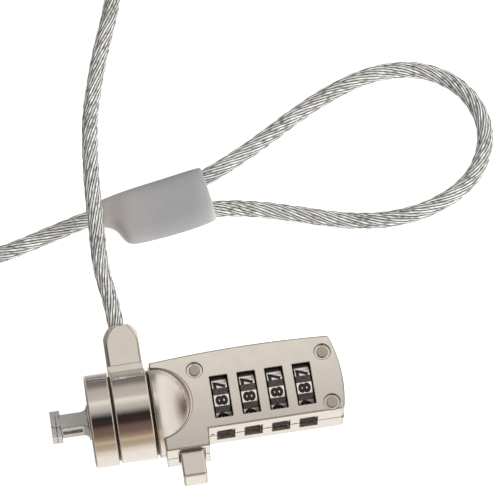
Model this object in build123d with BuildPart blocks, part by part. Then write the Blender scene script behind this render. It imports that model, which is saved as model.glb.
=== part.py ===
from build123d import *
import os
from math import cos, degrees, pi, radians, sin, tan

# Four-dial combination cable lock for a laptop's security slot.
#
# The lock lies on its back on a table (Z = 0).  Its long axis runs along X, the T-bar points
# to -X, the number plate faces +Z and the cable leaves the swivel collar towards +Y.
# Millimetres.  The origin is under the middle of the lock head, without its cable.
#
# Three local measures are used throughout:
#   s  station along the axis, from the front cap's outer face towards the dial end
#   u  height above the axis towards +Y, on the cable side
#   w  height above the axis towards +Z, on the number-plate side

os.makedirs("parts", exist_ok=True)

# ---- overall sizes ------------------------------------------------------------------------
T_REACH = 7.5            # T-bar tip in front of the cap
BODY_END = 50.0          # most bulged point of the dial end
CAP_R = 9.15             # front cap, the roundest part, which rests on the table
COLLAR_R = 8.9
HOUSING_R = 9.0
PLATE_W = 5.5            # half thickness of the flat body
BUTTON_REACH = 15.0      # released button below the axis
BOSS_REACH = 18.25       # top of the collar's cable boss above the axis

CAP_FACE_X = -(BODY_END - T_REACH) / 2
AXIS_Y = -1.925
AXIS_Z = CAP_R

# ---- running fits -------------------------------------------------------------------------
FIT = 0.05               # radial clearance of everything that turns

# ---- stations -----------------------------------------------------------------------------
CAP_WALL = 0.95
CAP_HOLE_R = 3.5
CAP_END = 4.7
COLLAR_START = 5.15
COLLAR_END = 12.2
HOUSING_START = 12.7
DOME_S = 13.05           # centre of the dome
DOME_LENGTH = 8.2
BLOCK_START = 13.95
BLOCK_END = 22.4
BLOCK_U = -9.85
BODY_LOW_U = -6.5

DOME_FRAME_R = 7.35      # bevelled recess that frames the dome
DOME_FRAME_DEPTH = 0.5

# ---- neck ---------------------------------------------------------------------------------
NECK_R = 5.5
NECK_END = 15.35
NECK_FLANGE = (13.65, 14.65, 6.55)
WASHER_R = 8.3

# ---- dials --------------------------------------------------------------------------------
DIAL_FIRST = 26.02
DIAL_PITCH = 5.43
DIAL_COUNT = 4
DIAL_WIDTH = 2.9
DIAL_R = 5.35
RIDGE_R = 5.8
RIDGE_WIDTH = 1.3
DIGITS = 10
FIRST_RIDGE_DEG = 84.6   # from +u towards +w
SLOT_WIDTH = 3.5         # a dial's slot in the housing, and its window in the plate
SLOT_R = 6.1
WINDOW_U = (-4.65, 3.85)
SIDE_WINDOW = (3.5, -2.8, 2.9)
TUMBLER_R = 3.15
TUMBLER_WIDTH = 3.5
DIALS = [DIAL_FIRST + DIAL_PITCH * number for number in range(DIAL_COUNT)]

# ---- locking spindle ----------------------------------------------------------------------
SPINDLE_R = 1.5
SPINDLE_START = 23.0
SPINDLE_END = 46.0
FIN_R = 2.6
FIN_WIDTH = 1.0
FIN_LENGTH = 0.6
FIN_GAP = 0.2
SPRING_POCKET_END = 48.7

# ---- T-bar --------------------------------------------------------------------------------
HEAD_TURN = -25.0        # the whole T-bar is set this far round from +Y towards +Z
T_HALF = 3.4             # half length of each crossbar: the pair passes a 3 x 7 mm slot
T_THICK = 2.4
FLAG_S = (-6.5, -5.6)
ROTOR_BAR_S = (-T_REACH, -6.55)
BOSS_PIN_R = 1.22        # round boss across the head: half on the rotor, half on the flags
BOSS_PIN_REACH = 1.45    # how far it stands from the axis, inside a 3 mm slot
SHANK = (3.6, 2.8)
SHANK_GROOVE = ((-5.3, -1.6), 0.8, 0.4)     # along each narrow side, its width and depth
FLARE_S = (-1.5, -0.3)      # the shank widens between these
FLARE_HALF = 3.15
ROOT_R = 3.42               # round root that fills the cap's hole
PIN_R = 0.85
SHAFT_R = 1.4
SHAFT_END = 17.4
PINION_END = 20.2
JOURNAL_END = 22.8
TEETH = 8
PITCH_R = 2.0
RACK_PITCH = 2 * pi * PITCH_R / TEETH
BUTTON_TRAVEL = PITCH_R * pi / 2

# ---- release button -----------------------------------------------------------------------
BUTTON_S = (16.5, 21.15)
BUTTON_W = (-3.05, 3.8)
SPRING_S = 18.8
SPRING_W = -2.35
SEAT_U = (-3.3, -2.7)

# ---- wells and pockets inside the housing: spans along s, u and w ---------------------------
BUTTON_WELL = ((15.75, 21.85), (-9.0, -4.6), (-3.9, 4.6))
BUTTON_MOUTH = ((16.25, 21.4), (BLOCK_U - 0.1, -9.0), (-3.3, 4.1))
PINION_WELL = ((NECK_END, 21.85), (-4.6, 4.4), (-3.75, 3.75))
SPRING_SEAT = ((NECK_END + 0.1, 21.95), SEAT_U, (-3.85, -1.0))
DETENT_POCKET = ((23.4, 45.4), (5.6, 7.4), (-1.8, 1.8))
HOUSING_BORES = [        # start, end and radius of each
    (HOUSING_START - 0.1, NECK_END, NECK_R),
    NECK_FLANGE,
    (21.8, 22.9, PIN_R + 0.1),
    (22.9, 23.95, SPINDLE_R + FIT),
    (23.95, 45.9, TUMBLER_R + FIT),
    (45.9, 46.9, SPINDLE_R + FIT),
    (46.9, SPRING_POCKET_END, 1.8),
]
INDEX_MARK = (23.35, BODY_LOW_U, 0.9)
INDEX_MARK_R = 0.32
PARTING_LINES = [        # fine grooves where the shells meet: along the dials, under the button's block
    ((BLOCK_END + 0.3, 49.2), (BODY_LOW_U - 0.1, BODY_LOW_U + 0.3), (-0.09, 0.09)),
    ((BLOCK_START - 0.1, BLOCK_END + 0.1), (BLOCK_U - 0.1, BLOCK_U + 0.25), (-0.09, 0.09)),
]
PARTING_NOTCH = (0.9, 0.4, 0.35)     # length, height and depth of the notch between two side windows

# ---- collar boss --------------------------------------------------------------------------
BOSS_S = 8.55
BOSS_R = 4.1
BOSS_SPAN = (-3.6, 3.3)     # how far the boss reaches each side of its middle
CABLE_S = BOSS_S - 0.6
PLINTH = ((7.0, 9.7), (-3.4, 3.4))   # step at the boss's foot: spans along u and w
BOSS_FACET_W = 2.85
FERRULE_R = 2.2
FERRULE_U = (10.4, 15.4)
CABLE_START_U = 13.1

# ---- rivets: s, u of each ------------------------------------------------------------------
RIVETS = [(21.65, 5.65), (46.85, 5.55), (47.1, -4.85)]
RIVET_R = 0.75
RIVET_HEAD_R = 1.1
RIVET_HEAD_HEIGHT = 0.4
RECESS_R = 1.6
RECESS_DEPTH = 0.5

# ---- steel cable ----------------------------------------------------------------------------
CABLE_D = 3.4
CABLE_R = CABLE_D / 2
TABLE = CABLE_R + 0.02   # height of a cable that lies on the table
COIL_CENTRE = (-61.0, 84.0)
COIL_R = (10.2, 27.6)
COIL_Z = (0.65, 11.2)
TIE_WIDTH = 4.0
TIE_THICK = 0.6

LEAD_ROUTE = [
    (CAP_FACE_X + CABLE_S, AXIS_Y + CABLE_START_U, AXIS_Z),
    (CAP_FACE_X + CABLE_S, 20.5, AXIS_Z),
    (-14.7, 29.5, 9.8),
    (-14.2, 38.0, 10.5),
    (-13.9, 46.5, 10.5),
    (-13.2, 55.0, 7.9),
    (-12.2, 63.5, 4.6),
    (-10.4, 71.0, 2.2),
    (-8.0, 79.0, TABLE),
    (-4.6, 87.5, TABLE),
    (-2.4, 95.5, TABLE),
    (-4.6, 104.0, TABLE),
    (-11.5, 110.6, TABLE),
    (-21.0, 113.0, TABLE),
    (-31.5, 112.2, TABLE),
    (-42.0, 109.5, TABLE),
    (-52.0, 105.5, TABLE + TIE_THICK),
]

LOOP_ROUTE = [
    (-81.0, 79.0, TABLE + TIE_THICK),
    (-79.5, 68.5, TABLE),
    (-75.0, 58.0, TABLE),
    (-67.0, 48.5, TABLE),
    (-56.5, 41.5, TABLE),
    (-45.5, 37.6, TABLE),
    (-35.0, 37.8, TABLE),
    (-27.0, 39.9, TABLE),
    (-19.5, 41.8, 2.3),
    (-12.0, 43.2, 3.25),
    (-4.0, 44.9, 3.25),
    (4.5, 45.8, 3.25),
    (12.8, 49.3, 2.9),
    (20.5, 53.6, TABLE),
    (29.5, 58.9, TABLE),
    (38.5, 63.3, TABLE),
    (48.0, 65.9, TABLE),
    (57.5, 64.8, TABLE),
    (65.0, 59.0, TABLE),
    (67.8, 49.5, TABLE),
    (63.8, 40.2, TABLE),
    (55.5, 35.0, TABLE),
    (45.5, 33.2, TABLE),
    (36.0, 34.4, TABLE),
    (27.0, 37.3, TABLE),
    (18.5, 39.8, 2.0),
    (10.0, 40.9, 3.1),
    (1.8, 40.7, 3.25),
]

# ---- moulded sleeve over the crimp, which joins the end loop ---------------------------------
SLEEVE_OUTLINE = [
    (-12.5, 46.0), (8.3, 49.9), (10.0, 38.6), (2.3, 36.9), (-6.9, 36.0),
    (-8.7, 37.0), (-9.9, 39.7), (-11.1, 40.7), (-12.5, 40.8),
]
SLEEVE_HEIGHT = 6.5
CRIMP_CENTRE = (1.0, 43.2)
CRIMP_SIZE = (9.0, 9.4, 4.5)
CRIMP_TURN = 7.0


# ---- planes and plain shapes in s, u, w -------------------------------------------------------
def point(s, u, w):
    return (CAP_FACE_X + s, AXIS_Y + u, AXIS_Z + w)


def station(s, turn=0.0):
    """A plane across the axis, with its own x on +u (turned towards +w) and its y on +w."""
    across = (0, cos(radians(turn)), sin(radians(turn)))
    return Plane(origin=point(s, 0, 0), x_dir=across, z_dir=(1, 0, 0))


def level(w):
    """A plane along the number plate, with its own x along s and its y along u."""
    return Plane(origin=point(0, 0, w), x_dir=(1, 0, 0), z_dir=(0, 0, 1))


def disc(s_from, s_to, radius, mode=Mode.ADD):
    with Locations(point((s_from + s_to) / 2, 0, 0)):
        Cylinder(radius, s_to - s_from, rotation=(0, 90, 0), mode=mode)


def slab(s_span, u_span, w_span, mode=Mode.ADD):
    spans = (s_span, u_span, w_span)
    middle = [(low + high) / 2 for low, high in spans]
    size = [high - low for low, high in spans]
    with Locations(point(*middle)):
        Box(*size, mode=mode)


def around(middle, width):
    return (middle - width / 2, middle + width / 2)


LOCK_AXIS = Axis(point(0, 0, 0), (1, 0, 0))


def save(piece, name):
    piece.label = name
    export_step(piece, f"parts/{name}.step")


# ---- front cap --------------------------------------------------------------------------------
with BuildPart() as front_cap:
    disc(0, CAP_END, CAP_R)
    front_rim, rear_rim = front_cap.edges().filter_by(GeomType.CIRCLE).sort_by(Axis.X)
    fillet(front_rim, 0.45)
    fillet(rear_rim, 0.2)
    disc(-0.1, CAP_END, CAP_HOLE_R, Mode.SUBTRACT)
    disc(CAP_WALL, CAP_END + 0.1, NECK_R, Mode.SUBTRACT)
save(front_cap.part, "front_cap")

# ---- thrust washers each side of the collar -----------------------------------------------------
for name, start, end in (
    ("front_washer", CAP_END, COLLAR_START - FIT),
    ("rear_washer", COLLAR_END + FIT, HOUSING_START),
):
    with BuildPart() as washer:
        disc(start, end, WASHER_R)
        disc(start, end, NECK_R + FIT, Mode.SUBTRACT)
    save(washer.part, name)

# ---- neck tube: carries the cap and the collar, and is trapped by its flange ---------------------
with BuildPart() as neck_tube:
    disc(CAP_WALL, NECK_END, NECK_R)
    disc(*NECK_FLANGE)
    disc(CAP_WALL, NECK_END, SHAFT_R + FIT, Mode.SUBTRACT)
    disc(CAP_WALL, 2.7, 4.4, Mode.SUBTRACT)
save(neck_tube.part, "neck_tube")

# ---- swivel collar with its cable boss -----------------------------------------------------------
with BuildPart() as boss:
    with BuildSketch(level(0)):
        with BuildLine():
            Polyline((BOSS_S, 6.2), (BOSS_S + BOSS_R, 6.2), (BOSS_S + BOSS_R, 13.5))
            ThreePointArc((BOSS_S + BOSS_R, 13.5), (BOSS_S + 3.75, 16.1), (BOSS_S + 2.6, BOSS_REACH))
            Polyline((BOSS_S + 2.6, BOSS_REACH), (BOSS_S, BOSS_REACH), (BOSS_S, 6.2))
        make_face()
    revolve(axis=Axis(point(BOSS_S, 0, 0), (0, 1, 0)))
    boss_span = (BOSS_S + BOSS_SPAN[0], BOSS_S + BOSS_SPAN[1])
    slab(boss_span, (6.2, BOSS_REACH), (-BOSS_FACET_W, BOSS_FACET_W), Mode.INTERSECT)
    slab(boss_span, *PLINTH)

with BuildPart() as swivel_collar:
    disc(COLLAR_START, COLLAR_END, COLLAR_R)
    fillet(swivel_collar.edges().filter_by(GeomType.CIRCLE), 0.25)
    add(boss.part)
    disc(0, COLLAR_START, CAP_R + 0.15, Mode.SUBTRACT)
    disc(COLLAR_START, COLLAR_END, NECK_R + FIT, Mode.SUBTRACT)
    with Locations(Plane(origin=point(CABLE_S, 0, 0), z_dir=(0, 1, 0))):
        Cylinder(FERRULE_R, FERRULE_U[1], align=(Align.CENTER, Align.CENTER, Align.MIN),
                 mode=Mode.SUBTRACT)
        Cylinder(CABLE_R + FIT, BOSS_REACH + 1, align=(Align.CENTER, Align.CENTER, Align.MIN),
                 mode=Mode.SUBTRACT)
save(swivel_collar.part, "swivel_collar")

# ---- ferrule swaged on the cable's end, trapped behind the boss's shoulder ------------------------
with BuildPart() as cable_end_ferrule:
    with Locations(Plane(origin=point(CABLE_S, FERRULE_U[0], 0), z_dir=(0, 1, 0))):
        Cylinder(FERRULE_R, FERRULE_U[1] - FERRULE_U[0],
                 align=(Align.CENTER, Align.CENTER, Align.MIN))
    with Locations(Plane(origin=point(CABLE_S, CABLE_START_U, 0), z_dir=(0, 1, 0))):
        Cylinder(CABLE_R, 10, align=(Align.CENTER, Align.CENTER, Align.MIN), mode=Mode.SUBTRACT)
save(cable_end_ferrule.part, "cable_end_ferrule")


# ---- housing: one outline, parted at mid thickness into two shells ---------------------------------
def housing_outline():
    """The flat body's outline, for use inside a BuildLine on a level plane."""
    top_left = (DOME_S, 8.4)
    top_right = (48.5, 8.7)
    low_right = (49.3, BODY_LOW_U)
    ThreePointArc(top_left, (31.5, 9.2), top_right)
    ThreePointArc(top_right, (BODY_END, 0.5), low_right)
    Polyline(low_right, (BLOCK_END + 0.2, BODY_LOW_U), (BLOCK_END, BLOCK_U), (BLOCK_START, BLOCK_U),
             (BLOCK_START, -7.0), (DOME_S, -7.0), top_left)


def housing_half(keep):
    with BuildPart() as half:
        # flat body with softened corners and rims
        with BuildSketch(level(-PLATE_W)) as body_face:
            with BuildLine():
                housing_outline()
            make_face()
            corners = body_face.vertices().sort_by(Axis.X)
            fillet(corners[-2:], 0.7)
        extrude(body_face.sketch, amount=2 * PLATE_W)
        rims = half.faces().filter_by(Axis.Z).edges()
        chamfer(rims, 0.18)
        # bevelled recess that frames the dome, on both plates
        for side in (1, -1):
            recess = level(side * PLATE_W)
            if side < 0:
                recess = Plane(origin=recess.origin, x_dir=(1, 0, 0), z_dir=(0, 0, -1))
            with BuildSketch(recess) as rim_circle:
                with Locations((DOME_S, 0)):
                    Circle(DOME_FRAME_R)
            extrude(rim_circle.sketch, amount=-DOME_FRAME_DEPTH, taper=45, mode=Mode.SUBTRACT)
        # dome
        with BuildSketch(level(0)) as dome_face:
            with BuildLine():
                Polyline((DOME_S + DOME_LENGTH, 0), (HOUSING_START, 0), (HOUSING_START, HOUSING_R - 0.25),
                         (HOUSING_START + 0.25, HOUSING_R), (DOME_S, HOUSING_R))
                EllipticalCenterArc((DOME_S, 0), DOME_LENGTH, HOUSING_R, 0, arc_size=90)
            make_face()
        revolve(dome_face.sketch, axis=LOCK_AXIS)
        # wells for the button and the rotor's pinion, with the button spring's seat left standing
        for well in (BUTTON_WELL, BUTTON_MOUTH, PINION_WELL, DETENT_POCKET):
            slab(*well, Mode.SUBTRACT)
        slab(*SPRING_SEAT)
        # neck seat, then bores for the rotor's journal, spindle, tumblers and spindle spring
        for bore in HOUSING_BORES:
            disc(*bore, Mode.SUBTRACT)
        # dial slots, plate windows and side windows
        for centre in DIALS:
            slot = around(centre, SLOT_WIDTH)
            disc(*slot, SLOT_R, Mode.SUBTRACT)
            slab(slot, WINDOW_U, (4.0, PLATE_W + 0.1), Mode.SUBTRACT)
            slab(slot, WINDOW_U, (-PLATE_W - 0.1, -4.0), Mode.SUBTRACT)
            slab(around(centre, SIDE_WINDOW[0]), (BODY_LOW_U - 0.1, -5.0), SIDE_WINDOW[1:],
                 Mode.SUBTRACT)
        # rivet holes and their recesses
        for s, u in RIVETS:
            with Locations(point(s, u, 0)):
                Cylinder(RIVET_R, 2 * PLATE_W + 1, mode=Mode.SUBTRACT)
            for side in (1, -1):
                with Locations(point(s, u, side * (PLATE_W - RECESS_DEPTH / 2 + 0.1))):
                    Cylinder(RECESS_R, RECESS_DEPTH + 0.2, mode=Mode.SUBTRACT)
        # index mark beside the first side window, and the fine lines where the shells meet
        with Locations(point(*INDEX_MARK)):
            Sphere(INDEX_MARK_R, mode=Mode.SUBTRACT)
        for groove in PARTING_LINES:
            slab(*groove, Mode.SUBTRACT)
        for centre in DIALS[:-1]:
            slab(around(centre + DIAL_PITCH / 2, PARTING_NOTCH[0]),
                 (BODY_LOW_U - 0.1, BODY_LOW_U + PARTING_NOTCH[2]), around(0, PARTING_NOTCH[1]),
                 Mode.SUBTRACT)
        split(bisect_by=level(0), keep=keep)
    return half.part


save(housing_half(Keep.TOP), "front_shell")
save(housing_half(Keep.BOTTOM), "rear_shell")

# ---- staked rivets, one node ------------------------------------------------------------------------
with BuildPart() as rivets:
    for s, u in RIVETS:
        with Locations(point(s, u, 0)):
            Cylinder(RIVET_R, 2 * (PLATE_W - RECESS_DEPTH))
        for side in (1, -1):
            with Locations(point(s, u, side * (PLATE_W - RECESS_DEPTH + RIVET_HEAD_HEIGHT / 2))):
                Cylinder(RIVET_HEAD_R, RIVET_HEAD_HEIGHT)
    for outer_face in (rivets.faces().sort_by(Axis.Z)[:3], rivets.faces().sort_by(Axis.Z)[-3:]):
        fillet(outer_face.edges(), 0.18)
save(rivets.part, "rivets")

# ---- dials and the tumblers pressed inside them --------------------------------------------------------
for number, centre in enumerate(DIALS, start=1):
    start = centre - DIAL_WIDTH / 2
    with BuildPart() as dial:
        with BuildSketch(station(start)):
            Circle(DIAL_R)
            with PolarLocations((DIAL_R + RIDGE_R - 0.2) / 2, DIGITS, start_angle=FIRST_RIDGE_DEG):
                Rectangle(RIDGE_R - DIAL_R + 0.2, RIDGE_WIDTH)
            Circle(TUMBLER_R, mode=Mode.SUBTRACT)
        extrude(amount=DIAL_WIDTH)
    save(dial.part, f"dial_{number}")

    with BuildPart() as tumbler:
        with BuildSketch(station(centre - TUMBLER_WIDTH / 2)):
            Circle(TUMBLER_R)
            Circle(SPINDLE_R + 0.1, mode=Mode.SUBTRACT)
            with Locations((0, FIN_R / 2 + 0.1)):
                Rectangle(FIN_WIDTH + 0.2, FIN_R, mode=Mode.SUBTRACT)
        extrude(amount=TUMBLER_WIDTH)
    save(tumbler.part, f"tumbler_{number}")

# ---- locking spindle: its fins stand between the tumblers ------------------------------------------------
with BuildPart() as locking_spindle:
    disc(SPINDLE_START, SPINDLE_END, SPINDLE_R)
    for centre in DIALS:
        fin_start = centre + TUMBLER_WIDTH / 2 + FIN_GAP
        slab((fin_start, fin_start + FIN_LENGTH), around(0, FIN_WIDTH), (1.2, FIN_R))
save(locking_spindle.part, "locking_spindle")


# ---- coil springs ---------------------------------------------------------------------------------------------
def coil_spring(start, direction, length, turns, mean_r, wire_r):
    """A helical spring whose wire stays inside its stated length."""
    first_turn = Plane(origin=start, z_dir=direction).offset(wire_r).origin
    height = length - 2 * wire_r
    with BuildPart() as spring:
        with BuildLine() as wire_path:
            Helix(pitch=height / turns, height=height, radius=mean_r, center=first_turn,
                  direction=direction)
        with BuildSketch(Plane(origin=wire_path.wire() @ 0, z_dir=wire_path.wire() % 0)):
            Circle(wire_r)
        sweep(path=wire_path.wire(), is_frenet=True)
    return spring.part


spindle_spring = coil_spring(point(SPINDLE_END + 0.05, 0, 0), (1, 0, 0),
                             SPRING_POCKET_END - SPINDLE_END - 0.1, 4, 1.25, 0.15)
save(spindle_spring, "spindle_spring")
button_spring = coil_spring(point(SPRING_S, -8.1, SPRING_W), (0, 1, 0), SEAT_U[0] + 8.1 - 0.05,
                            4.5, 1.05, 0.15)
save(button_spring, "button_spring")

# ---- detent spring: one leaf with a bump over each dial ----------------------------------------------------------
with BuildPart() as detent_spring:
    slab((23.6, 45.2), (6.35, 6.6), (-1.5, 1.5))
    for s in (23.9, 44.9):
        slab(around(s, 0.6), (6.5, 7.35), (-1.5, 1.5))
    for centre in DIALS:
        with Locations(point(centre, 6.38, 0)):
            Cylinder(0.36, 2.0, rotation=(0, 90, 0))
save(detent_spring.part, "detent_spring")

# ---- T-bar blade: fixed flags, flat-sided shank and flared root, bored for the rotor ------------------------------
def crossbar(s_span):
    """One of the head's two crossbars, with its half of the round boss; both point the same way at rest."""
    boss_plane = Plane(origin=point(sum(FLAG_S + ROTOR_BAR_S) / 4, 0, 0), x_dir=(1, 0, 0),
                       z_dir=station(0, HEAD_TURN).y_dir)
    boss_axis = Axis(boss_plane.origin, boss_plane.z_dir)
    with BuildPart() as bar:
        with BuildSketch(station(s_span[0], HEAD_TURN)):
            RectangleRounded(2 * T_HALF, T_THICK, 0.35)
        extrude(amount=s_span[1] - s_span[0])
        with BuildSketch(boss_plane):
            Circle(BOSS_PIN_R)
        extrude(amount=BOSS_PIN_REACH, both=True)
        rims = bar.faces().filter_by(boss_axis).edges().filter_by(GeomType.CIRCLE)
        fillet([rim for rim in rims if rim.length > BOSS_PIN_R], 0.15)
        with BuildSketch(station(s_span[0], HEAD_TURN)):
            Rectangle(2 * T_HALF, 2 * T_HALF)
        extrude(amount=s_span[1] - s_span[0], mode=Mode.INTERSECT)
    return bar.part


def shank_outline():
    """Half of the shank's outline in its own plane, widening to its root, closed along its middle."""
    half = SHANK[0] / 2
    middle = (FLARE_S[0] + 0.71 * (FLARE_S[1] - FLARE_S[0]), half + 0.29 * (FLARE_HALF - half))
    Polyline((FLARE_S[0], half), (FLAG_S[1] - 0.2, half), (FLAG_S[1] - 0.2, 0), (1.2, 0),
             (1.2, FLARE_HALF), (FLARE_S[1], FLARE_HALF))
    ThreePointArc((FLARE_S[1], FLARE_HALF), middle, (FLARE_S[0], half))


with BuildPart() as t_bar_blade:
    disc(1.0, 2.65, 4.35)
    disc(FLARE_S[1], 1.1, ROOT_R)
    head_plan = Plane(origin=point(0, 0, 0), x_dir=(1, 0, 0), z_dir=station(0, HEAD_TURN).y_dir)
    with BuildSketch(head_plan):
        with BuildLine():
            shank_outline()
        make_face()
        mirror(about=Plane.XZ)
    extrude(amount=SHANK[1] / 2, both=True)
    along, width, depth = SHANK_GROOVE
    for side in (1, -1):
        with Locations(head_plan * Pos(sum(along) / 2, side * SHANK[0] / 2, 0)):
            Box(along[1] - along[0], 2 * depth, width, mode=Mode.SUBTRACT)
    add(crossbar(FLAG_S))
    disc(FLAG_S[0] - 0.1, 2.8, PIN_R + FIT, Mode.SUBTRACT)
save(t_bar_blade.part, "t_bar_blade")

# ---- T-bar rotor: crossbar at the tip, shaft through the neck, pinion behind the button ---------------------------
with BuildPart() as t_bar_rotor:
    add(crossbar(ROTOR_BAR_S))
    disc(ROTOR_BAR_S[1] - 0.2, 2.8, PIN_R)
    disc(2.75, SHAFT_END, SHAFT_R)
    with BuildSketch(station(SHAFT_END)):
        Circle(1.42)
        with PolarLocations(1.84, TEETH, start_angle=90 - 180 / TEETH):
            Trapezoid(0.64, 1.0, 80, rotation=-90)
    extrude(amount=PINION_END - SHAFT_END)
    disc(PINION_END - 0.1, JOURNAL_END, PIN_R + 0.05)
save(t_bar_rotor.part, "t_bar_rotor")

# ---- release button with its flange, spring peg and rack ------------------------------------------------------------
RACK_S = (17.6, 20.0)
RACK_W = (2.55, 3.45)
with BuildPart() as release_button:
    slab(BUTTON_S, (-BUTTON_REACH, -8.9), BUTTON_W)
    fillet(release_button.edges().filter_by(Axis.Y), 0.4)
    chamfer(release_button.faces().sort_by(Axis.Y)[0].edges(), 0.3)
    slab((15.95, 21.65), (-8.95, -8.15), (-3.7, 4.35))
    slab(RACK_S, (-8.3, 0.95), RACK_W)
    with Locations(Plane(origin=point(SPRING_S, -8.3, SPRING_W), z_dir=(0, 1, 0))):
        Cylinder(0.75, 1.4, align=(Align.CENTER, Align.CENTER, Align.MIN))
    for tooth in range(4):
        root = Plane(origin=point(RACK_S[0], -tooth * RACK_PITCH, RACK_W[0] + 0.05), x_dir=(0, 1, 0),
                     z_dir=(1, 0, 0))
        with BuildSketch(root):
            Trapezoid(0.68, 1.0, 80, rotation=180, align=(Align.CENTER, Align.MIN))
        extrude(amount=RACK_S[1] - RACK_S[0])
save(release_button.part, "release_button")


# ---- cable -----------------------------------------------------------------------------------------------------------
def corner_radii(route):
    """One arc radius for each corner: as large as its two runs allow."""
    radii = []
    for before, corner, after in zip(route, route[1:], route[2:]):
        run_in = Vector(*corner) - Vector(*before)
        run_out = Vector(*after) - Vector(*corner)
        half_turn = radians(run_in.get_angle(run_out)) / 2
        radii.append(0.45 * min(run_in.length, run_out.length) / tan(half_turn))
    return radii


def cable_tube(name, route):
    radii = corner_radii(route)
    with BuildPart() as tube:
        with BuildLine() as path:
            FilletPolyline(*route, radius=radii)
        with BuildSketch(Plane(origin=path.wire() @ 0, z_dir=path.wire() % 0)):
            Circle(CABLE_R)
        sweep(path=path.wire())
    length = path.wire().length
    print(name, "radii", [round(radius, 1) for radius in radii])
    print(name, "length", round(length, 1), "volume", round(tube.part.volume, 1),
          "section x length", round(pi * CABLE_R ** 2 * length, 1))
    return tube.part


with BuildPart() as coil_ties:
    for side in (1, -1):
        middle = (COIL_R[0] + COIL_R[1]) / 2
        width = COIL_R[1] - COIL_R[0]
        height = COIL_Z[1] - COIL_Z[0]
        with Locations((COIL_CENTRE[0] + side * middle, COIL_CENTRE[1], sum(COIL_Z) / 2)):
            Box(width + 2 * TIE_THICK, TIE_WIDTH, height + 2 * TIE_THICK)
            Box(width, TIE_WIDTH, height, mode=Mode.SUBTRACT)
save(coil_ties.part, "coil_ties")

with BuildPart() as cable_coil:
    with Locations((COIL_CENTRE[0], COIL_CENTRE[1], COIL_Z[0])):
        Cylinder(COIL_R[1], COIL_Z[1] - COIL_Z[0], align=(Align.CENTER, Align.CENTER, Align.MIN))
        Cylinder(COIL_R[0], COIL_Z[1], align=(Align.CENTER, Align.CENTER, Align.MIN),
                 mode=Mode.SUBTRACT)
    add(coil_ties.part, mode=Mode.SUBTRACT)
save(cable_coil.part, "cable_coil")

with BuildPart() as cable_lead:
    add(cable_tube("cable_lead", LEAD_ROUTE))
    add(cable_coil.part, mode=Mode.SUBTRACT)
    add(coil_ties.part, mode=Mode.SUBTRACT)
save(cable_lead.part, "cable_lead")

with BuildPart() as cable_loop:
    add(cable_tube("cable_loop", LOOP_ROUTE))
    add(cable_coil.part, mode=Mode.SUBTRACT)
    add(coil_ties.part, mode=Mode.SUBTRACT)
save(cable_loop.part, "cable_loop")

# ---- crimp and the sleeve moulded over it ---------------------------------------------------------------------------------
with BuildPart() as crimp_block:
    with Locations(Location((*CRIMP_CENTRE, SLEEVE_HEIGHT / 2), (0, 0, CRIMP_TURN))):
        Box(*CRIMP_SIZE)
    fillet(crimp_block.edges().filter_by(lambda edge: abs(edge.tangent_at(0).Z) < 0.01
           and edge.length > CRIMP_SIZE[0] - 0.1 and edge.length < CRIMP_SIZE[0] + 0.1), 1.9)

with BuildPart() as crimp_ferrule:
    add(crimp_block.part)
    add(cable_loop.part, mode=Mode.SUBTRACT)
save(crimp_ferrule.part, "crimp_ferrule")

with BuildPart() as crimp_sleeve:
    with BuildSketch() as sleeve_face:
        with BuildLine():
            Polyline(*SLEEVE_OUTLINE, close=True)
        make_face()
        fillet(sleeve_face.vertices(), 0.4)
    extrude(amount=SLEEVE_HEIGHT)
    fillet(crimp_sleeve.faces().sort_by(Axis.Z)[-1].edges(), 0.35)
    add(crimp_block.part, mode=Mode.SUBTRACT)
    add(cable_loop.part, mode=Mode.SUBTRACT)
save(crimp_sleeve.part, "crimp_sleeve")

print("button travel", round(BUTTON_TRAVEL, 4), "T-bar turn", round(degrees(BUTTON_TRAVEL / PITCH_R), 1))
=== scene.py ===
"""Looks of the four-dial laptop cable lock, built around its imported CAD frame.

The lock lies on its back on a pale floor at Z = 0, its axis along X, the number plate up.
Everything is in metres, in the CAD frame.
"""
from math import atan2, cos, pi, radians, sin, sqrt

import bmesh
import bpy
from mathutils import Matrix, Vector


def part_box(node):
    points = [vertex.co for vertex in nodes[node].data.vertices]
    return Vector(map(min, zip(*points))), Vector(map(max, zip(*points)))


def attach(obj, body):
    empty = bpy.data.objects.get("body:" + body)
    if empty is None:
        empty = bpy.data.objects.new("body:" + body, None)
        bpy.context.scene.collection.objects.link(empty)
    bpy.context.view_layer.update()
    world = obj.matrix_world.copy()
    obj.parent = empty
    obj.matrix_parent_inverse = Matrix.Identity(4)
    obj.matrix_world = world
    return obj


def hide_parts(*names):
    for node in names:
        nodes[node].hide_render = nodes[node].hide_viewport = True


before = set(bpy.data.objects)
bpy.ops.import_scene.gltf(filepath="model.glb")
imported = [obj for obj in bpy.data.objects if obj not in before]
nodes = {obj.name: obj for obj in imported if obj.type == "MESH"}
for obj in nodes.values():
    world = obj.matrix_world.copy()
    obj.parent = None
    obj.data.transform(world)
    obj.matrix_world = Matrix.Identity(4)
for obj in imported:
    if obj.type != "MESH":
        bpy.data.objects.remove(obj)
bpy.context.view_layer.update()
scene = bpy.context.scene
MM = 0.001

# ---- places taken from the frame -------------------------------------------------------------
cap_low, cap_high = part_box("front_cap")
AXIS_Y = (cap_low.y + cap_high.y) / 2
AXIS_Z = (cap_low.z + cap_high.z) / 2
coil_low, coil_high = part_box("cable_coil")
COIL_X = (coil_low.x + coil_high.x) / 2
COIL_Y = (coil_low.y + coil_high.y) / 2

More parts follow.
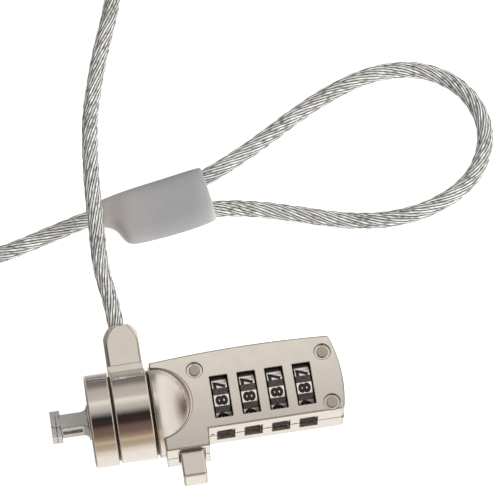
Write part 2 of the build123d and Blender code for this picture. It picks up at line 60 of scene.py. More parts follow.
# ---- driving sizes ---------------------------------------------------------------------------
CABLE_D = 3.4 * MM
STRANDS = 6
STRAND_LAY = 19.5 * MM       # one turn of a strand round the rope, right-handed
STRAND_CENTRE = 0.88 * MM
STRAND_R = 0.80 * MM
WIRE_LAY = 20.0 * MM         # one turn of a wire round its strand, left-handed
WIRES = 9
DIAL_FACE_R = 5.35 * MM
DIAL_RIDGE_R = 5.8 * MM


# ---- camera ----------------------------------------------------------------------------------
def add_camera():
    data = bpy.data.cameras.new("photo_camera")
    data.sensor_width = 36
    data.lens = 251.44
    camera = bpy.data.objects.new("photo_camera", data)
    camera.location = (-0.02038, -0.20895, 0.66066)
    camera.rotation_euler = [radians(angle) for angle in (20.243, 0.138, -8.910)]
    scene.collection.objects.link(camera)
    scene.camera = camera


# ---- node materials --------------------------------------------------------------------------
def srgb(red, green, blue):
    """A colour given as it looks on screen, 0 to 255, in the linear values that shaders use."""
    def linear(value):
        value = value / 255
        return value / 12.92 if value <= 0.04045 else ((value + 0.055) / 1.055) ** 2.4
    return (linear(red), linear(green), linear(blue), 1)


def fill_ramp(ramp, stops):
    """Colour stops spread evenly with their values: the first at 0, the last at 1."""
    first = stops[0][0]
    reach = stops[-1][0] - first
    elements = ramp.color_ramp.elements
    elements[0].color = srgb(*stops[0][1])
    elements[1].color = srgb(*stops[-1][1])
    for value, colour in stops[1:-1]:
        elements.new((value - first) / reach).color = srgb(*colour)


class Look:
    """A node material around one Principled shader. Its methods add one node each."""

    def __init__(self, name, colour, roughness, **sockets):
        self.material = bpy.data.materials.new(name)
        self.material.use_nodes = True
        self.tree = self.material.node_tree
        self.shader = self.tree.nodes["Principled BSDF"]
        self.set("Base Color", colour)
        self.set("Roughness", roughness)
        for socket, value in sockets.items():
            self.set(socket.replace("_", " "), value)

    def set(self, socket, value):
        self.put(self.shader.inputs[socket], value)

    def put(self, socket, value):
        if isinstance(value, bpy.types.NodeSocket):
            self.tree.links.new(value, socket)
        else:
            socket.default_value = value

    def node(self, kind, inputs=(), output=0, **settings):
        node = self.tree.nodes.new(kind)
        for key, value in settings.items():
            setattr(node, key, value)
        for key, value in dict(inputs).items():
            self.put(node.inputs[key], value)
        return node.outputs[output]

    def place(self, stretch=(1, 1, 1)):
        """The surface point in the piece's own frame, in millimetres, stretched."""
        point = self.node("ShaderNodeTexCoord", output="Object")
        scale = [1000 * factor for factor in stretch]
        return self.node("ShaderNodeMapping", {"Vector": point, "Scale": scale})

    def noise(self, per_mm, detail=3.0, stretch=(1, 1, 1)):
        inputs = {"Vector": self.place(stretch), "Scale": per_mm, "Detail": detail}
        return self.node("ShaderNodeTexNoise", inputs)

    def math(self, operation, first, second=0.0):
        return self.node("ShaderNodeMath", {0: first, 1: second}, operation=operation)

    def span(self, value, low, high, to_low, to_high):
        inputs = {"Value": value, "From Min": low, "From Max": high, "To Min": to_low, "To Max": to_high}
        return self.node("ShaderNodeMapRange", inputs)

    def mix(self, factor, first, second):
        node = self.tree.nodes.new("ShaderNodeMix")
        node.data_type = "RGBA"
        colours = [socket for socket in node.inputs if socket.type == "RGBA"]
        self.put(node.inputs[0], factor)
        self.put(colours[0], first)
        self.put(colours[1], second)
        return node.outputs[2]

    def rounded(self, radius):
        return self.node("ShaderNodeBevel", {"Radius": radius}, samples=6)

    def edges(self, rounded):
        """1 along sharp edges and 0 on open faces, from how far a rounded normal leaves the true one."""
        flat = self.node("ShaderNodeNewGeometry", output="True Normal")
        both = {0: rounded, 1: flat}
        alike = self.node("ShaderNodeVectorMath", both, output="Value", operation="DOT_PRODUCT")
        return self.span(alike, 0.985, 0.93, 0, 1)

    def bump(self, height, distance, normal=None):
        inputs = {"Height": height, "Distance": distance}
        if normal:
            inputs["Normal"] = normal
        return self.node("ShaderNodeBump", inputs)

    def piece_y(self):
        parts = self.tree.nodes.new("ShaderNodeSeparateXYZ")
        self.put(parts.inputs[0], self.place())
        return parts.outputs[1]

    def axis_radius(self):
        """How far the surface point is from the lock's axis, in millimetres."""
        point = self.node("ShaderNodeTexCoord", output="Object")
        parts = self.tree.nodes.new("ShaderNodeSeparateXYZ")
        self.put(parts.inputs[0], point)
        across = self.math("SUBTRACT", parts.outputs[1], AXIS_Y)
        up = self.math("SUBTRACT", parts.outputs[2], AXIS_Z)
        square = self.math("ADD", self.math("MULTIPLY", across, across), self.math("MULTIPLY", up, up))
        return self.math("MULTIPLY", self.math("SQRT", square), 1000)


NICKEL = srgb(241, 236, 231)
# painted shade: the colour of the dark lines drawn along the plates' sharp edges
NICKEL_EDGE_SHADE = srgb(48, 40, 35)
# painted shade: the colour of the dark lines drawn along bare steel edges
STEEL_EDGE_SHADE = srgb(20, 18, 17)
CROWN = 0.004                # height of the plates' crown, per mm squared from the lock's axis
WINDOW_SHADOW = srgb(40, 34, 30)     # painted shadow on the walls and inner faces inside the dial windows
BORE_R = 6.5                 # the windows' inner faces lie within this radius, in mm
PLATE_TOP = 5.5              # half thickness of the flat body, in mm
WINDOWS_X = 1.7              # the first dial window starts here along X, in mm


def window_insides(look):
    """Where painted shadow goes: 1 on the plates' walls and inner faces round the dials, else 0; never on the
    rivets' recess floors.
    """
    parts = look.tree.nodes.new("ShaderNodeSeparateXYZ")
    look.put(parts.inputs[0], look.place())
    off_axis = look.math("ABSOLUTE", look.math("SUBTRACT", parts.outputs[2], AXIS_Z / MM))
    below_face = look.math("LESS_THAN", off_axis, PLATE_TOP - 0.2)
    near_axis = look.math("LESS_THAN", look.axis_radius(), BORE_R)
    past_dome = look.math("GREATER_THAN", parts.outputs[0], WINDOWS_X)
    facing = look.tree.nodes.new("ShaderNodeSeparateXYZ")
    look.put(facing.inputs[0], look.node("ShaderNodeNewGeometry", output="True Normal"))
    steep = look.math("LESS_THAN", look.math("ABSOLUTE", facing.outputs[2]), 0.9)
    shaded_inside = look.math("MULTIPLY", below_face, near_axis)
    return look.math("MULTIPLY", look.math("MULTIPLY", shaded_inside, past_dome), steep)


def nickel(name, roughness, grain, stretch, edge, crown=0.0):
    """Champagne nickel plate: ripple from the casting, a fine grain, painted shade as thin dark lines along
    the edges.
    """
    look = Look(name, NICKEL, roughness, Metallic=1.0)
    cloud = look.noise(0.35, 4)
    fine = look.noise(grain, 5, stretch)
    rounded = look.rounded(edge)
    tone = look.mix(look.span(cloud, 0.35, 0.65, 0, 0.12), NICKEL, srgb(214, 206, 198))
    # painted shade: dark lines along the sharp edges
    tone = look.mix(look.edges(rounded), tone, NICKEL_EDGE_SHADE)
    if crown:
        # painted shadow inside the dial windows, on the plates that have a crown
        tone = look.mix(window_insides(look), tone, WINDOW_SHADOW)
    look.set("Base Color", tone)
    uneven = look.math("ADD", look.span(cloud, 0.3, 0.7, -0.02, 0.03), look.span(fine, 0.3, 0.7, -0.02, 0.02))
    look.set("Roughness", look.math("ADD", uneven, roughness))
    across = look.math("SUBTRACT", look.piece_y(), AXIS_Y / MM)
    swell = look.math("MULTIPLY", look.math("MULTIPLY", across, across), -crown)
    ripple = look.bump(look.math("ADD", swell, look.math("MULTIPLY", cloud, 0.012)), MM, rounded)
    look.set("Normal", look.bump(fine, 0.0015 * MM, ripple))
    return look.material


def steel(name, colour, roughness, grain, stretch, metallic=1.0, edge=0.1 * MM):
    """Bare machined steel or bronze with tool marks along one direction and painted shade as dark lines along
    the edges.
    """
    look = Look(name, colour, roughness, Metallic=metallic)
    marks = look.noise(grain, 4, stretch)
    dull = tuple(0.72 * part for part in colour[:3]) + (1,)
    rounded = look.rounded(edge)
    tone = look.mix(look.span(marks, 0.45, 0.7, 0, 0.5), colour, dull)
    # painted shade: dark lines along the sharp edges
    look.set("Base Color", look.mix(look.edges(rounded), tone, STEEL_EDGE_SHADE))
    look.set("Roughness", look.span(marks, 0.3, 0.7, roughness - 0.05, roughness + 0.1))
    look.set("Normal", look.bump(marks, 0.004 * MM, rounded))
    return look.material


def dial_plating(name):
    """Satin faces for the digits between darker, grained grip ridges, with painted shade on the dial below
    its digit faces.
    """
    look = Look(name, NICKEL, 0.3, Metallic=0.35)
    radius = look.axis_radius()
    middle = (DIAL_FACE_R + DIAL_RIDGE_R) / 2 / MM
    ridge = look.span(radius, middle - 0.1, middle + 0.02, 0, 1)
    # painted shade: the dial below its digit faces is drawn dark
    shaded_inside = look.span(radius, DIAL_FACE_R / MM - 0.12, DIAL_FACE_R / MM - 0.04, 1, 0)
    fine = look.noise(5.0, 4)
    bright = look.mix(look.span(fine, 0.4, 0.7, 0, 0.3), srgb(240, 235, 229), srgb(222, 215, 208))
    dark = look.mix(look.span(fine, 0.35, 0.65, 0, 1), srgb(92, 84, 79), srgb(36, 31, 28))
    look.set("Base Color", look.mix(shaded_inside, look.mix(ridge, bright, dark), srgb(38, 34, 30)))
    look.set("Roughness", look.span(fine, 0.3, 0.7, 0.26, 0.42))
    look.set("Normal", look.bump(fine, 0.006 * MM, look.rounded(0.08 * MM)))
    return look.material


def digit_paint():
    look = Look("digit_paint", srgb(22, 19, 18), 0.45)
    fine = look.noise(8.0, 3)
    look.set("Base Color", look.mix(look.span(fine, 0.4, 0.7, 0, 1), srgb(20, 17, 16), srgb(38, 34, 32)))
    look.set("Normal", look.bump(fine, 0.004 * MM))
    return look.material


WIRE_TONE = srgb(236, 236, 232)


def rope_steel():
    """Bright galvanised wires with painted glints and painted shade between the wires: the UV map runs along
    the rope in x and across the wires in y.
    """
    look = Look("rope_wires", WIRE_TONE, 0.3, Metallic=0.35, Coat_Weight=0.12, Coat_Roughness=0.1)
    uv = look.tree.nodes.new("ShaderNodeSeparateXYZ")
    look.put(uv.inputs[0], look.node("ShaderNodeTexCoord", output="UV"))
    across = look.math("FRACT", uv.outputs[1])
    wire = look.math("FLOOR", uv.outputs[1])
    crown = look.math("SINE", look.math("MULTIPLY", across, pi))
    along = look.math("ADD", look.math("MULTIPLY", uv.outputs[0], 0.8), look.math("MULTIPLY", wire, 0.37))
    dash = look.node("ShaderNodeCombineXYZ", {0: look.math("FLOOR", along), 1: wire})
    chance = look.node("ShaderNodeTexWhiteNoise", {"Vector": dash})
    swell = look.math("SINE", look.math("MULTIPLY", look.math("FRACT", along), pi))
    # painted highlight: random short white glints along the wires
    painted_glint = look.math("MULTIPLY", look.math("GREATER_THAN", chance, 0.7), swell)
    dull = look.math("MULTIPLY", look.math("LESS_THAN", chance, 0.16), look.math("MULTIPLY", swell, 0.6))
    tone = look.mix(look.span(look.noise(0.9, 3), 0.35, 0.65, 0, 1), WIRE_TONE, srgb(206, 206, 203))
    tone = look.mix(painted_glint, tone, srgb(255, 255, 253))
    tone = look.mix(dull, tone, srgb(96, 96, 94))
    # painted shade in the gaps between neighbouring wires
    gap_shade = look.math("MULTIPLY", look.span(crown, 0.42, 0.76, 1, 0), look.span(swell, 0, 1, 0.8, 1))
    look.set("Base Color", look.mix(gap_shade, tone, srgb(12, 12, 11)))
    look.set("Roughness", look.span(chance, 0, 1, 0.4, 0.2))
    look.set("Normal", look.bump(crown, 0.07 * MM))
    return look.material


def strap_fabric(name, colour, shade, roughness):
    """Matt black strap with a faint pattern and a slightly pitted skin."""
    look = Look(name, colour, roughness)
    flow = look.noise(0.12, 3, (1, 1.6, 1))
    skin = look.noise(6.0, 4)
    look.set("Base Color", look.mix(look.span(flow, 0.3, 0.7, 0, 1), colour, shade))
    look.set("Roughness", look.span(skin, 0.3, 0.7, roughness - 0.05, roughness + 0.07))
    look.set("Normal", look.bump(skin, 0.006 * MM))
    return look.material


SLEEVE_TONES_AND_LIP_HIGHLIGHT = [                 # along the sleeve, by X in millimetres; the palest last stop is a painted highlight on the open lip
    (-12, (170, 163, 159)),
    (-2, (147, 146, 148)),
    (6, (142, 142, 145)),
    (8.6, (156, 156, 157)),
    # painted highlight on the rim of the open lip
    (10.2, (190, 188, 185)),
]


def sleeve_plastic():
    """Milky grey vinyl, a little warmer at the thin end, with a painted highlight at the open lip."""
    look = Look("sleeve_grey", srgb(152, 150, 151), 0.27, Subsurface_Weight=0.15, Subsurface_Scale=0.002)
    look.set("Subsurface Radius", (1.0, 1.0, 1.0))
    parts = look.tree.nodes.new("ShaderNodeSeparateXYZ")
    look.put(parts.inputs[0], look.place())
    along = look.span(parts.outputs[0], SLEEVE_TONES_AND_LIP_HIGHLIGHT[0][0], SLEEVE_TONES_AND_LIP_HIGHLIGHT[-1][0], 0, 1)
    ramp = look.tree.nodes.new("ShaderNodeValToRGB")
    look.put(ramp.inputs[0], along)
    fill_ramp(ramp, SLEEVE_TONES_AND_LIP_HIGHLIGHT)
    flow = look.noise(0.12, 3, (1, 1.6, 1))
    skin = look.noise(6.0, 4)
    look.set("Base Color", look.mix(look.span(flow, 0.4, 0.7, 0, 0.35), ramp.outputs[0], srgb(162, 155, 152)))
    look.set("Roughness", look.span(skin, 0.3, 0.7, 0.22, 0.34))
    look.set("Normal", look.bump(skin, 0.004 * MM))
    return look.material


# ---- meshes ----------------------------------------------------------------------------------
def mesh_piece(name, points, faces, material, smooth=True):
    mesh = bpy.data.meshes.new(name)
    mesh.from_pydata(points, [], faces)
    mesh.validate()
    mesh.shade_smooth() if smooth else mesh.shade_flat()
    mesh.materials.append(material)
    piece = bpy.data.objects.new(name, mesh)
    scene.collection.objects.link(piece)
    return piece


def lofted_faces(rings, size, first=0):
    """Quads between rings of equal size, closed at both ends by one face each."""
    faces = []
    for ring in range(rings - 1):
        start = first + ring * size
        for corner in range(size):
            after = (corner + 1) % size
            faces.append((start + corner, start + after, start + size + after, start + size + corner))
    last = first + (rings - 1) * size
    faces.append(tuple(reversed(range(first, first + size))))
    faces.append(tuple(range(last, last + size)))
    return faces


# ---- cable route -----------------------------------------------------------------------------
LEAD_ROUTE = [
    (-0.0133, 0.016325, 0.00915),
    (-0.0133, 0.0205, 0.00915),
    (-0.0147, 0.0295, 0.0098),
    (-0.0142, 0.0380, 0.0105),
    (-0.0139, 0.0465, 0.0105),
    (-0.0132, 0.0550, 0.0079),
    (-0.0122, 0.0635, 0.0046),
    (-0.0104, 0.0710, 0.0022),
    (-0.0080, 0.0790, 0.00172),
    (-0.0046, 0.0875, 0.00172),
    (-0.0024, 0.0955, 0.00172),
    (-0.0046, 0.1040, 0.00172),
    (-0.0115, 0.1106, 0.00172),
    (-0.0210, 0.1130, 0.00172),
    (-0.0315, 0.1128, 0.00172),
    (-0.0430, 0.1118, 0.00200),
]
LOOP_ROUTE = [
    (-0.0805, 0.0690, 0.00172),
    (-0.0755, 0.0580, 0.00172),
    (-0.0670, 0.0485, 0.00172),
    (-0.0565, 0.0415, 0.00172),
    (-0.0455, 0.0376, 0.00172),
    (-0.0350, 0.0378, 0.00172),
    (-0.0270, 0.0399, 0.00172),
    (-0.0195, 0.0418, 0.00230),
    (-0.0120, 0.0432, 0.00325),
    (-0.0040, 0.0449, 0.00325),
    (0.0045, 0.0458, 0.00325),
    (0.0128, 0.0493, 0.00290),
    (0.0205, 0.0536, 0.00172),
    (0.0295, 0.0589, 0.00172),
    (0.0385, 0.0633, 0.00172),
    (0.0480, 0.0659, 0.00172),
    (0.0575, 0.0648, 0.00172),
    (0.0650, 0.0590, 0.00172),
    (0.0678, 0.0495, 0.00172),
    (0.0638, 0.0402, 0.00172),
    (0.0555, 0.0350, 0.00172),
    (0.0455, 0.0332, 0.00172),
    (0.0360, 0.0344, 0.00172),
    (0.0270, 0.0373, 0.00172),
    (0.0185, 0.0398, 0.00200),
    (0.0100, 0.0409, 0.00310),
    (0.0018, 0.0407, 0.00325),
]

# The spare length: turns side by side and on each other, in (column, row) order.
COIL_CELLS = [(3, 0), (2, 0), (1, 0), (0, 0), (0, 1), (0, 2), (1, 2), (1, 1), (2, 1), (2, 2), (3, 2), (3, 1)]
COIL_INNER_R = 14.55 * MM
COIL_PITCH = 3.5 * MM
COIL_FLOOR = 2.35 * MM
COIL_START = 84.0            # degrees round the coil's centre
COIL_TURN = 11.32 * 360
POINTS_PER_TURN = 16
CROSSOVER = 0.22             # share of a turn in which the cable steps to the next place


def coil_route():
    points = []
    steps = round(COIL_TURN / 360 * POINTS_PER_TURN)
    corner_gain = 1 / cos(pi / POINTS_PER_TURN)
    for step in range(steps + 1):
        turns = step * COIL_TURN / steps / 360
        cell = min(int(turns), len(COIL_CELLS) - 1)
        following = COIL_CELLS[min(cell + 1, len(COIL_CELLS) - 1)]
        share = max(0.0, (turns - cell - 1 + CROSSOVER) / CROSSOVER)
        share = share * share * (3 - 2 * share)
        column = COIL_CELLS[cell][0] * (1 - share) + following[0] * share
        row = COIL_CELLS[cell][1] * (1 - share) + following[1] * share
        radius = (COIL_INNER_R + column * COIL_PITCH) * corner_gain
        angle = radians(COIL_START + turns * 360)
        height = COIL_FLOOR + row * COIL_PITCH
        points.append((COIL_X + radius * cos(angle), COIL_Y + radius * sin(angle), height))
    return points


def nurbs_line(name, points):
    curve = bpy.data.curves.new(name, "CURVE")
    curve.dimensions = "3D"
    curve.resolution_u = 10
    spline = curve.splines.new("NURBS")
    spline.points.add(len(points) - 1)
    for point, place in zip(spline.points, points):
        point.co = (*place, 1)
    spline.order_u = 3
    spline.use_endpoint_u = True
    carrier = bpy.data.objects.new(name, curve)
    scene.collection.objects.link(carrier)
    bpy.context.view_layer.update()
    line = bpy.data.meshes.new_from_object(carrier)
    places = [vertex.co.copy() for vertex in line.vertices]
    bpy.data.meshes.remove(line)
    bpy.data.objects.remove(carrier)
    bpy.data.curves.remove(curve)
    return places


def respaced(places, step_at):
    """Points along a polyline, apart by step_at(distance from the start)."""
    kept = [places[0]]
    walked = 0.0
    since = 0.0
    for before, after in zip(places, places[1:]):
        run = (after - before).length
        gone = 0.0
        while since + run - gone >= step_at(walked):
            gone += step_at(walked) - since
            walked += step_at(walked) - since
            since = 0.0
            kept.append(before.lerp(after, gone / run))
        since += run - gone
        walked += run - gone
    kept.append(places[-1])
    return kept


def framed(places):
    """Each point with its distance along the line and a frame that doesn't twist: (s, point, side, up)."""
    result = []
    side = None
    walked = 0.0
    for index, place in enumerate(places):
        ahead = places[min(index + 1, len(places) - 1)]
        behind = places[max(index - 1, 0)]
        along = (ahead - behind).normalized()
        if index:
            walked += (place - places[index - 1]).length
        side = along.orthogonal() if side is None else side
        side = (side - along * side.dot(along)).normalized()
        result.append((walked, place, side, along.cross(side)))
    return result


# ---- rope: six strands of nine wires, in one closed skin -------------------------------------
AROUND_STRAND = 12           # points across each strand
SEEN_STEP = 0.62 * MM
COILED_STEP = 1.25 * MM


def rope_mesh(line, coil_span, material):
    def step_at(distance):
        return COILED_STEP if coil_span[0] < distance < coil_span[1] else SEEN_STEP

    rings = framed(respaced(line, step_at))
    size = STRANDS * AROUND_STRAND
    half = pi / STRANDS
    points = []
    phases = []
    for walked, place, side, up in rings:
        twist = 2 * pi * walked / STRAND_LAY
        for corner in range(size):
            strand, step = divmod(corner, AROUND_STRAND)
            offset = -half + 2 * half * (step + 0.5) / AROUND_STRAND
            reach = STRAND_CENTRE * cos(offset) + sqrt(STRAND_R ** 2 - (STRAND_CENTRE * sin(offset)) ** 2)
            on_strand = atan2(reach * sin(offset), reach * cos(offset) - STRAND_CENTRE)
            phase = WIRES * (on_strand / (2 * pi) + walked / WIRE_LAY)
            angle = 2 * half * strand + offset + twist
            points.append(place + (side * cos(angle) + up * sin(angle)) * reach)
            phases.append((walked / MM, phase))
    piece = mesh_piece("steel_cable", points, lofted_faces(len(rings), size), material)
    uv = piece.data.uv_layers.new(name="wires")
    for loop in piece.data.loops:
        uv.data[loop.index].uv = phases[loop.vertex_index]
    return piece


# ---- sleeve moulded over the crimp -----------------------------------------------------------
# Low and high end of each cross-section on plan, the height of its crown, in millimetres.
SLEEVE_SECTIONS = [
    ((-12.5, 40.9), (-12.5, 46.0), 5.0),
    ((-11.6, 40.6), (-11.7, 46.2), 5.2),
    ((-10.6, 40.1), (-10.8, 46.4), 5.4),
    ((-9.7, 38.9), (-9.9, 46.6), 5.7),
    ((-8.9, 37.2), (-9.1, 46.75), 6.0),
    ((-7.9, 36.2), (-8.2, 46.9), 6.3),
    ((-6.2, 36.0), (-6.6, 47.2), 6.5),
    ((-2.2, 36.4), (-2.8, 47.85), 6.5),
    ((2.3, 36.95), (1.4, 48.6), 6.4),
    ((6.2, 37.7), (4.9, 49.3), 6.2),
    ((9.0, 38.4), (7.4, 49.75), 6.0),
    ((10.0, 38.8), (8.3, 49.8), 5.9),
]
SLEEVE_POINTS = 40
SLEEVE_WALL = 1.0 * MM
LIP_ROUND = 0.25 * MM
BORE_DEPTH = 2.5             # how far the open ends are hollow, in millimetres


def sleeve_ring(low, high, crown, inset=0.0):
    """A rounded, flat-bottomed section standing on the floor between two points on plan."""
    low = Vector((*low, 0)) * MM
    high = Vector((*high, 0)) * MM
    half = (high - low) / 2
    centre = low + half
    width = half.length - inset
    tall = crown * MM - 2 * inset
    across = half.normalized()
    ring = []
    for corner in range(SLEEVE_POINTS):
        angle = 2 * pi * corner / SLEEVE_POINTS
        wide = abs(cos(angle)) ** 0.5 * (1 if cos(angle) >= 0 else -1)
        up = abs(sin(angle)) ** 0.7 * (1 if sin(angle) >= 0 else -1)
        height = inset + tall * (0.42 + (0.58 * up if up > 0 else 0.42 * up))
        ring.append(centre + across * wide * width + Vector((0, 0, height + 0.02 * MM)))
    return ring


def sleeve_bore(section, shift):
    """The ring inside an open end, moved along X by a number of millimetres."""
    (low_x, low_y), (high_x, high_y), crown = section
    return sleeve_ring((low_x + shift, low_y), (high_x + shift, high_y), crown, SLEEVE_WALL)


def sleeve_mesh(material):
    """Outer skin, turned in at both open ends to a wall's thickness."""
    first = SLEEVE_SECTIONS[0]
    last = SLEEVE_SECTIONS[-1]
    rings = [sleeve_bore(first, BORE_DEPTH), sleeve_bore(first, 0), sleeve_ring(*first, LIP_ROUND)]
    rings.extend(sleeve_ring(*section) for section in SLEEVE_SECTIONS)
    rings.extend([sleeve_ring(*last, LIP_ROUND), sleeve_bore(last, 0), sleeve_bore(last, -BORE_DEPTH)])
    points = [point for ring in rings for point in ring]
    piece = mesh_piece("clear_sleeve", points, lofted_faces(len(rings), SLEEVE_POINTS), material)
    smooth = piece.modifiers.new("round", "SUBSURF")
    smooth.levels = 2
    smooth.render_levels = 2
    return piece


# ---- ties round the coil ---------------------------------------------------------------------
TIE_WIDTH = 4.0 * MM
TIE_THICK = 0.6 * MM


def tie_mesh(name, side, material):
    """A flat strap drawn round the bundle of turns."""
    middle = COIL_X + side * (coil_high.x - COIL_X + COIL_INNER_R - CABLE_D / 2) / 2
    half_x = (coil_high.x - COIL_X - COIL_INNER_R + CABLE_D / 2) / 2 + 0.25 * MM
    low = coil_low.z - TIE_THICK + 0.02 * MM
    half_z = (coil_high.z + TIE_THICK - low) / 2 - 0.02 * MM
    centre_z = low + half_z
    corner = 2.2 * MM
    outline = []
    for quarter in range(4):
        sx = (1, -1, -1, 1)[quarter]
        sz = (1, 1, -1, -1)[quarter]
        for step in range(7):
            angle = radians(90 * quarter + 15 * step)
            outline.append((middle + sx * (half_x - corner) + corner * cos(angle),
                            centre_z + sz * (half_z - corner) + corner * sin(angle), cos(angle), sin(angle)))
    section = [(-0.5, 0.25), (-0.42, 0.5), (0.42, 0.5), (0.5, 0.25),
               (0.5, -0.25), (0.42, -0.5), (-0.42, -0.5), (-0.5, -0.25)]
    points = []
    for x, z, out_x, out_z in outline:
        for across, through in section:
            lift = (through - 0.5) * TIE_THICK
            points.append((x + out_x * lift, COIL_Y + across * TIE_WIDTH, z + out_z * lift))
    size = len(section)
    faces = []
    for ring in range(len(outline)):
        following = (ring + 1) % len(outline)
        for corner_index in range(size):
            after = (corner_index + 1) % size
            faces.append((ring * size + corner_index, ring * size + after,
                          following * size + after, following * size + corner_index))
    return mesh_piece(name, points, faces, material)


# ---- digits on the dials ---------------------------------------------------------------------
DIGIT_HEIGHT = 2.45 * MM
DIGIT_WIDTH = 1.95 * MM
DIGIT_LIFT = 0.03 * MM
DIGIT_BOLD = 0.06
FIRST_DIGIT = 8
FIRST_DIGIT_ANGLE = -12.6    # degrees round the axis, from +Z towards +Y
DIGIT_STEP = 36.0


def digit_outline(character):
    """One digit as a flat mesh, its box centred on the origin, one unit high and wide."""
    text = bpy.data.curves.new("digit", "FONT")
    text.body = character
    text.offset = DIGIT_BOLD
    text.resolution_u = 5
    carrier = bpy.data.objects.new("digit", text)
    scene.collection.objects.link(carrier)
    bpy.context.view_layer.update()
    mesh = bpy.data.meshes.new_from_object(carrier)
    bpy.data.objects.remove(carrier)
    bpy.data.curves.remove(text)
    shape = bmesh.new()
    shape.from_mesh(mesh)
    bpy.data.meshes.remove(mesh)
    bmesh.ops.triangulate(shape, faces=shape.faces)
    bmesh.ops.subdivide_edges(shape, edges=shape.edges, cuts=3, use_grid_fill=True)
    bmesh.ops.triangulate(shape, faces=shape.faces)
    across = [vertex.co.x for vertex in shape.verts]
    up = [vertex.co.y for vertex in shape.verts]
    for vertex in shape.verts:
        vertex.co.x = (vertex.co.x - (min(across) + max(across)) / 2) / (max(across) - min(across))
        vertex.co.y = (vertex.co.y - (min(up) + max(up)) / 2) / (max(up) - min(up))
    points = [tuple(vertex.co) for vertex in shape.verts]
    faces = [[vertex.index for vertex in face.verts] for face in shape.faces]
    shape.free()
    return points, faces


def dial_digits(number, outlines, material):
    """Ten painted digits wrapped on a dial's faces, their tops towards the T-bar."""
    low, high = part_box(f"dial_{number}")
    middle = (low.x + high.x) / 2
    radius = DIAL_FACE_R + DIGIT_LIFT
    points = []
    faces = []
    for value in range(10):
        shape_points, shape_faces = outlines[value]
        width = DIGIT_WIDTH * (0.55 if value == 1 else 1.0)
        facing = radians(FIRST_DIGIT_ANGLE + DIGIT_STEP * (FIRST_DIGIT - value))
        first = len(points)
        for across, up, _ in shape_points:
            angle = facing + across * width / radius
            x = middle - up * DIGIT_HEIGHT
            points.append((x, AXIS_Y + radius * sin(angle), AXIS_Z + radius * cos(angle)))
        faces.extend([[first + index for index in face] for face in shape_faces])
    piece = mesh_piece(f"dial_{number}_digits", points, faces, material)
    thick = piece.modifiers.new("paint", "SOLIDIFY")
    thick.thickness = 2 * DIGIT_LIFT
    thick.offset = -1
    return piece


# ---- stage -----------------------------------------------------------------------------------
def add_floor():
    look = Look("pale_floor", srgb(225, 225, 225), 0.75, Emission_Strength=0.68)
    cloud = look.noise(0.01, 2)
    share = look.span(cloud, 0.3, 0.7, 0, 1)
    look.set("Base Color", look.mix(share, srgb(226, 226, 226), srgb(223, 223, 223)))
    look.set("Specular IOR Level", 0.1)
    look.set("Emission Color", (1, 1, 1, 1))
    reach = 4.0
    points = [(-reach, -reach, 0), (reach, -reach, 0), (reach, reach, 0), (-reach, reach, 0)]
    floor = mesh_piece("floor", points, [(0, 1, 2, 3)], look.material)
    floor.location.z = -0.05 * MM
    floor.visible_glossy = False


# Studio seen in polished metal, by the direction's angle from straight up towards +Y.
STUDIO_BANDS = [
    (-180, (251, 246, 240)),
    (-122, (248, 242, 234)),
    (-104, (226, 216, 204)),
    (-96, (190, 180, 162)),
    (-84, (178, 162, 142)),
    (-76, (202, 182, 158)),
    (-66, (156, 136, 118)),
    (-54, (122, 99, 91)),
    (-40, (112, 90, 84)),
    (-30, (58, 48, 46)),
    (-12, (44, 40, 38)),
    (-4, (128, 124, 121)),
    (4, (184, 180, 176)),
    (14, (204, 199, 192)),
    (22, (228, 223, 217)),
    (28, (238, 234, 228)),
    (36, (200, 194, 187)),
    (62, (186, 181, 175)),
    (78, (128, 124, 120)),
    (104, (106, 102, 98)),
    (130, (180, 177, 173)),
    (150, (232, 229, 224)),
    (180, (246, 244, 240)),
]
SIDE_BANDS = [                   # seen in metal that faces along X, by the direction's share along +X
    (-1.0, (84, 76, 70)),
    (-0.85, (136, 128, 120)),
    (-0.45, (152, 145, 137)),
    (-0.2, (226, 220, 212)),
    (0.2, (232, 226, 219)),
    (0.35, (246, 240, 232)),
    (0.8, (236, 229, 221)),
    (0.93, (186, 174, 163)),
    (1.0, (106, 93, 85)),
]


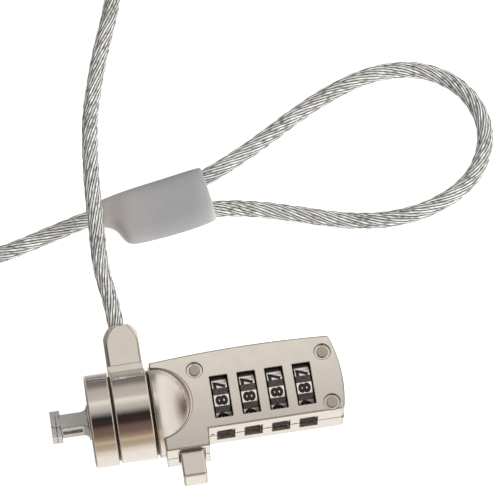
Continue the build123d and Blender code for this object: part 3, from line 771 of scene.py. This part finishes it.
def add_studio():
    world = bpy.data.worlds.new("soft_studio")
    scene.world = world
    world.use_nodes = True
    world.cycles.sampling_method = "NONE"
    tree = world.node_tree
    link = tree.links.new

    def node(kind, **settings):
        made = tree.nodes.new(kind)
        for key, value in settings.items():
            setattr(made, key, value)
        return made

    direction = node("ShaderNodeTexCoord")
    parts = node("ShaderNodeSeparateXYZ")
    link(direction.outputs["Generated"], parts.inputs[0])
    angle = node("ShaderNodeMath", operation="ARCTAN2")
    link(parts.outputs[1], angle.inputs[0])
    link(parts.outputs[2], angle.inputs[1])
    share = node("ShaderNodeMapRange")
    share.inputs["From Min"].default_value = -pi
    share.inputs["From Max"].default_value = pi
    link(angle.outputs[0], share.inputs["Value"])
    bands = node("ShaderNodeValToRGB")
    link(share.outputs[0], bands.inputs[0])
    sideways = node("ShaderNodeMath", operation="ABSOLUTE")
    link(parts.outputs[0], sideways.inputs[0])
    beside = node("ShaderNodeMapRange", interpolation_type="SMOOTHSTEP")
    beside.inputs["From Min"].default_value = 0.08
    beside.inputs["From Max"].default_value = 0.26
    link(sideways.outputs[0], beside.inputs["Value"])
    walls = node("ShaderNodeValToRGB")
    along = node("ShaderNodeMapRange")
    along.inputs["From Min"].default_value = -1
    link(parts.outputs[0], along.inputs["Value"])
    link(along.outputs[0], walls.inputs[0])
    both = node("ShaderNodeMix", data_type="RGBA")
    link(beside.outputs[0], both.inputs[0])
    link(bands.outputs[0], both.inputs[6])
    link(walls.outputs[0], both.inputs[7])
    fill_ramp(bands, STUDIO_BANDS)
    fill_ramp(walls, SIDE_BANDS)
    in_metal = node("ShaderNodeBackground")
    link(both.outputs[2], in_metal.inputs[0])
    in_metal.inputs[1].default_value = 1.0
    soft = node("ShaderNodeBackground")
    soft.inputs[0].default_value = srgb(253, 253, 252)
    soft.inputs[1].default_value = 0.68
    ray = node("ShaderNodeLightPath")
    choose = node("ShaderNodeMixShader")
    link(ray.outputs["Is Glossy Ray"], choose.inputs[0])
    link(soft.outputs[0], choose.inputs[1])
    link(in_metal.outputs[0], choose.inputs[2])
    output = tree.nodes.get("World Output") or node("ShaderNodeOutputWorld")
    link(choose.outputs[0], output.inputs[0])


def add_lamp(name, place, size, power):
    """A large softbox aimed at the object, left out of mirror reflections."""
    data = bpy.data.lights.new(name, "AREA")
    data.shape = "DISK"
    data.size = size
    data.energy = power
    lamp = bpy.data.objects.new(name, data)
    lamp.location = place
    lamp.rotation_euler = (-Vector(place)).to_track_quat("-Z", "Y").to_euler()
    lamp.visible_glossy = False
    scene.collection.objects.link(lamp)


# ---- build: camera and cable first -----------------------------------------------------------
scene.view_settings.view_transform = "Standard"
add_camera()

coil_points = coil_route()
whole_route = LEAD_ROUTE + coil_points + LOOP_ROUTE
cable_line = nurbs_line("cable_line", whole_route)
line_length = sum((after - before).length for before, after in zip(cable_line, cable_line[1:]))
print("cable line", round(line_length, 4), "m")

cable = rope_mesh(cable_line, (0.16, 1.50), rope_steel())
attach(cable, "cable_set")
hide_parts("cable_lead", "cable_coil", "cable_loop")

sleeve = sleeve_mesh(sleeve_plastic())
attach(sleeve, "cable_set")
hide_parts("crimp_sleeve")

tie_plastic = strap_fabric("tie_strap", srgb(26, 26, 27), srgb(38, 38, 39), 0.75)
ties = [tie_mesh(name, side, tie_plastic) for name, side in (("tie_near", 1), ("tie_far", -1))]
for tie in ties:
    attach(tie, "cable_set")
    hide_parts("coil_ties")

# ---- materials of the CAD pieces -------------------------------------------------------------
polished = nickel("nickel_polished", 0.07, 2.5, (1, 1, 1), 0.26 * MM)
plate = nickel("nickel_plate", 0.2, 3.0, (0.5, 2, 1), 0.27 * MM, CROWN)
satin = nickel("nickel_satin", 0.2, 3.0, (0.5, 2, 1), 0.26 * MM)
rivet_metal = steel("rivet_metal", srgb(190, 183, 175), 0.34, 2.6, (1, 1, 1), 0.9, 0.2 * MM)
t_bar_metal = steel("t_bar_metal", srgb(212, 210, 207), 0.24, 2.0, (0.4, 2, 2), 0.65, 0.22 * MM)
shaft_metal = steel("shaft_steel", srgb(196, 194, 190), 0.25, 2.0, (3, 0.5, 0.5))
washer_metal = steel("washer_bronze", srgb(74, 62, 56), 0.3, 3.0, (1, 1, 1))
bronze = steel("tumbler_bronze", srgb(96, 82, 62), 0.3, 2.0, (3, 0.6, 0.6))
spring_metal = steel("spring_metal", srgb(176, 175, 172), 0.22, 4.0, (1, 1, 1))
ferrule_metal = steel("crimp_metal", srgb(206, 206, 204), 0.32, 1.5, (0.5, 2, 2))
plating = dial_plating("dial_plating")

NODE_LOOKS = {
    "front_cap": polished, "swivel_collar": polished, "release_button": satin,
    "front_shell": plate, "rear_shell": plate, "rivets": rivet_metal,
    "front_washer": washer_metal, "rear_washer": washer_metal, "neck_tube": shaft_metal,
    "t_bar_blade": t_bar_metal, "t_bar_rotor": t_bar_metal, "locking_spindle": shaft_metal,
    "button_spring": spring_metal, "spindle_spring": spring_metal, "detent_spring": spring_metal,
    "cable_end_ferrule": ferrule_metal, "crimp_ferrule": ferrule_metal,
}
for number in range(1, 5):
    NODE_LOOKS[f"dial_{number}"] = plating
    NODE_LOOKS[f"tumbler_{number}"] = bronze
for name, material in NODE_LOOKS.items():
    slots = nodes[name].material_slots
    for slot in slots:
        slot.material = material

# ---- digits ----------------------------------------------------------------------------------
ink = digit_paint()
digit_shapes = [digit_outline(str(value)) for value in range(10)]
for number in range(1, 5):
    digits = dial_digits(number, digit_shapes, ink)
    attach(digits, f"dial_body_{number}")

# ---- floor and light -------------------------------------------------------------------------
add_floor()
add_studio()
add_lamp("softbox_right", (0.9, -0.5, 1.0), 0.7, 17)
